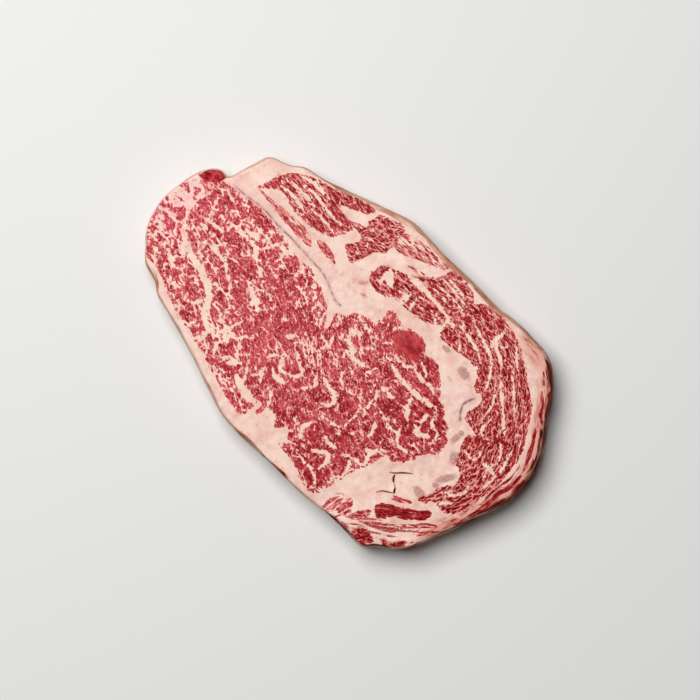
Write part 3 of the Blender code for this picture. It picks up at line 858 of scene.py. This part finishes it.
def meat_colour_group():
    """Colour of lean and fat: dark and pale fibre ends in the lean, and cream in the fat."""
    group, given, result = new_group(
        "meat_colour",
        {"Bundles": "Vector", "Fat": 0.0, "Bead": "Color", "Near": 0.0, "Rich": 0.0, "Dark": 0.0,
         "Fat colour": "Color"},
        {"Color": "Color"})
    place, near, dark, cream = (given[name] for name in ("Bundles", "Near", "Dark", "Fat colour"))
    ends = clouds(place, 1.3, 2, 0.6)
    cloud = clouds(moved(place, (3.1, 5.7, 9.2)), 0.35)
    bead = add(group, "ShaderNodeSeparateColor", {"Color": given["Bead"]}).outputs[0]
    tone = times_plus(minus(bead, 0.5), 0.16, ends)
    tone = times_plus(minus(cloud, 0.5), 0.6, tone)
    tone = times_plus(near, 0.06, minus(tone, 0.05))
    tone = times_plus(dark, -0.06, tone)
    deep = blend(dark, (150, 24, 38), (122, 3, 14))
    middle = blend(dark, (186, 53, 66), (154, 13, 26))
    pale = blend(dark, (213, 84, 91), (194, 50, 54))
    lean = blend(ramp(tone, 0.35, 0.50), deep, middle)
    lean = blend(ramp(tone, 0.50, 0.66), lean, pale)
    lean = blend(times(near, 0.7), lean, pale)
    # Pale cream flecks in the lean, most of them in the pale eye: partly fine fat, and partly
    # painted glints where wet lean would catch the light.
    fleck_and_glint = clouds(moved(place, (9.4, 1.3, 5.5)), 2.6, 1)
    fleck_and_glint = ramp(divided(minus(fleck_and_glint, 0.62), 0.05), -0.5, 1.0)
    fleck_and_glint = times(fleck_and_glint, ramp(dark, 0.2, 0.8, 0.8, 0.15))
    thin = blend(dark, (244, 156, 148), (241, 166, 152))
    lean = blend(fleck_and_glint, lean, blend(0.4, thin, cream))
    fill(result, {"Color": blend(given["Fat"], lean, blend(given["Rich"], thin, cream))})
    return group


marbling = marbling_group()
meat_colour = meat_colour_group()
beef = bpy.data.materials.new("raw_beef_marbled")
beef.use_nodes = True
tree = beef.node_tree
shader = tree.nodes["Principled BSDF"].inputs
place = scaled(add(tree, "ShaderNodeTexCoord").outputs["Object"], 1 / MM)


def stored(name):
    """What was kept for each point of the slab under a name."""
    return add(tree, "ShaderNodeAttribute", attribute_name=name).outputs["Vector"]


def parts_of(vector):
    return add(tree, "ShaderNodeSeparateXYZ", {"Vector": vector}).outputs


lean_depth, vein_depth, line_share = parts_of(stored("tissue"))
dark, seam, ragged_end = parts_of(stored("tone"))
bruised, over, bloom_share = parts_of(stored("bruise"))
wall_share, tan, bare_and_shade = parts_of(stored("wall"))
silver_depth, vessel_depth, crack_depth = parts_of(stored("marks"))
on_right, smeared, _ = parts_of(stored("flush"))
bundle_place, round_place = stored("bundles"), stored("around")

# The web of fat. The outlines of the dark muscles are the most ragged.
ragged = minus(clouds(place, 0.5), 0.5)
in_vein = times_plus(ragged, 1.6, vein_depth)
in_vein = larger(in_vein, times(in_vein, 0.6))
teeth = minus(clouds(bundle_place, 0.9), 0.5)
outside = minus(times(teeth, times_plus(dark, 1.4, 0.3)), lean_depth)
outside = larger(outside, times(outside, 0.7))
web = add(tree, "ShaderNodeGroup", node_tree=marbling)
fill(web.inputs, {"Bundles": bundle_place, "Depth": minus(larger(outside, in_vein), 0.1),
                  "Group size": 3.2, "Seam": seam, "Seam range": 1.7,
                  "Thread": times_plus(dark, -0.06, -0.31), "Thread range": 1.15,
                  "Line": times_plus(dark, 0.008, line_share)})
fat = web.outputs["Fat"]

# The seams of fat: cream, mottled, salmon towards the right-hand rim, smeared with blood at
# one place, and grey-violet where silverskin or a vessel lies in them.
streaks = clouds(stretched(round_place, (0.12, 0.7, 0.7)), 1.0, 4, 0.6)
streak_swing = minus(streaks, 0.5)
mottle = clouds(place, 0.30, 5, 0.65)
cream = blend(ramp(clouds(place, 0.12, 4), 0.3, 0.7), (244, 200, 186), (255, 222, 207))
cream = tint(cream, lean_depth, 0.2, 1.2, 0.7, (252, 220, 202))
cream = tint(cream, mottle, 0.52, 0.70, 0.6, (228, 168, 152))
cream = tint(cream, mottle, 0.48, 0.32, 0.8, (255, 230, 214))
rim_share = times(ramp(parts_of(round_place)["Y"], 11.0, 4.0), ramp(on_right, 0.0, 0.8))
cream = blend(times(rim_share, 0.72), cream, (230, 158, 138))
pink = times(ramp(streaks, 0.49, 0.60), rim_share)
cream = blend(times(pink, 0.8), cream, (198, 98, 86))
cream = tint(cream, times_plus(minus(mottle, 0.5), 2.5, smeared), 0.0, 0.9, 0.85, (214, 122, 98))
cream = tint(cream, silver_depth, -2.2, 0.6, 0.35, (214, 166, 158))
silver_share = times_plus(ragged, 1.2, silver_depth)
cream = tint(cream, silver_share, -0.5, 0.4, 0.75, (206, 160, 154))
cream = tint(cream, silver_share, 0.05, 0.45, 0.85, (156, 100, 104))
clotted = minus(clouds(place, 1.1, 3, 0.6), 0.5)
vessel_share = times_plus(clotted, 0.9, vessel_depth)
cream = tint(cream, vessel_share, -0.35, 0.25, 0.8, (196, 140, 130))
cream = tint(cream, vessel_share, 0.15, 0.6, 0.8,
             blend(ramp(clotted, -0.10, 0.12), (216, 174, 162), (176, 128, 126)))

meat = add(tree, "ShaderNodeGroup", node_tree=meat_colour)
fill(meat.inputs, {"Bundles": bundle_place, "Fat": fat, "Bead": web.outputs["Bead"],
                   "Near": web.outputs["Near"], "Rich": web.outputs["Rich"], "Dark": dark,
                   "Fat colour": cream})
bruise_share = ramp(times_plus(ragged, 0.5, bruised), 0.0, 0.3)
blood = ramp(clouds(place, 0.22), 0.40, 0.62)
colour = blend(times(bruise_share, 0.93), meat.outputs["Color"],
               blend(blood, (204, 68, 70), (158, 34, 42)))
colour = blend(bloom_share, colour, (255, 234, 248), mode="MULTIPLY")

# The wall: cream cover fat, dried to tan in places, with lean laid bare in streaks. The
# near-black brown of the bared streaks is partly painted shade. Where the wall's colours come
# over the edge onto the cut, most of all on the right-hand side, they lay that painted shade
# onto the cut.
wall_colour = blend(ramp(streaks, 0.35, 0.65), (240, 205, 184), (222, 172, 148))
tanned = blend(ramp(clouds(place, 0.16, 4), 0.35, 0.65), (222, 156, 124), (190, 116, 88))
wall_colour = tint(wall_colour, times_plus(streak_swing, 1.4, tan), 0.20, 1.10, 0.9, tanned)
wall_colour = tint(wall_colour, times_plus(streak_swing, 3.2, bare_and_shade), 0.25, 1.15, 1.0,
                   blend(ramp(streaks, 0.40, 0.62), (150, 54, 36), (70, 12, 8)))
wall_edge = ramp(times_plus(ragged, 0.5, wall_share), 0.25, 0.75)
over_edge_and_shade = ramp(times_plus(streak_swing, 5.0, over), -0.4, 1.3)
colour = blend(larger(wall_edge, over_edge_and_shade), colour, wall_colour)

# The torn nub, and the splits with the red that shows round them. The near-black down
# inside each split is painted shade.
colour = tint(colour, ragged_end, 0.1, 0.6, 1.0,
              blend(ramp(clouds(place, 0.5, 4, 0.65), 0.38, 0.60), (132, 8, 26), (214, 70, 78)))
colour = tint(colour, crack_depth, -0.45, 0.05, 0.45, (196, 84, 72))
colour = tint(colour, crack_depth, -0.04, 0.2, 1.0, (66, 14, 12))

# Lean is wet and shows its bundles; fat is waxy; the bruise is slick and the wall is drier.
shine = times_plus(wall_share, 0.12, times_plus(fat, 0.10, 0.36))
shine = times_plus(bruise_share, -0.16, shine)
fine = times_plus(fat, 0.15, clouds(bundle_place, 1.6))
fine = times_plus(streaks, 0.4, fine)
bump = add(tree, "ShaderNodeBump", {"Height": fine, "Strength": 0.25, "Distance": 0.0002})
fill(shader, {"Base Color": colour, "Roughness": shine, "Specular IOR Level": 0.035,
              "Normal": bump.outputs["Normal"]})
slab_mesh.materials.append(beef)
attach(slab, "root")
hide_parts("steak")


# -------- The table, light and camera
# A plain pale floor under the steak, one soft window, and a camera straight above.

floor_mesh = bpy.data.meshes.new("floor")
floor_mesh.from_pydata([(-3, -3, 0), (3, -3, 0), (3, 3, 0), (-3, 3, 0)], [], [(0, 1, 2, 3)])
floor = new_object("floor", floor_mesh)
pale = bpy.data.materials.new("pale_floor")
pale.use_nodes = True
fill(pale.node_tree.nodes["Principled BSDF"].inputs, {"Base Color": (0.8, 0.8, 0.79, 1)})
floor_mesh.materials.append(pale)

LENS, SENSOR = 200, 36    # millimetres
SEEN = 0.3162             # how wide a strip the camera takes in at the height of the cut
AIM = (0.00405, 0.00031)  # what lies in the middle of its view
camera_data = bpy.data.cameras.new("camera")
camera_data.lens, camera_data.sensor_width = LENS, SENSOR
camera_data.clip_end = 20
camera = new_object("camera", camera_data)
bpy.context.scene.camera = camera
camera.location = (*AIM, thickness * MM + SEEN * LENS / SENSOR)
camera.rotation_euler = (0, 0, math.radians(44))

light_data = bpy.data.lights.new("window", "AREA")
light_data.energy = 43
light_data.size = 1.2
window = new_object("window", light_data)
window.location = (-0.8, 0.08, 1.9)
window.rotation_euler = (-window.location).to_track_quat("-Z", "Y").to_euler()
world = bpy.data.worlds.new("studio")
world.use_nodes = True
fill(world.node_tree.nodes["Background"].inputs, {"Color": (1, 1, 1, 1), "Strength": 0.07})
bpy.context.scene.world = world
bpy.context.scene.view_settings.view_transform = "Standard"
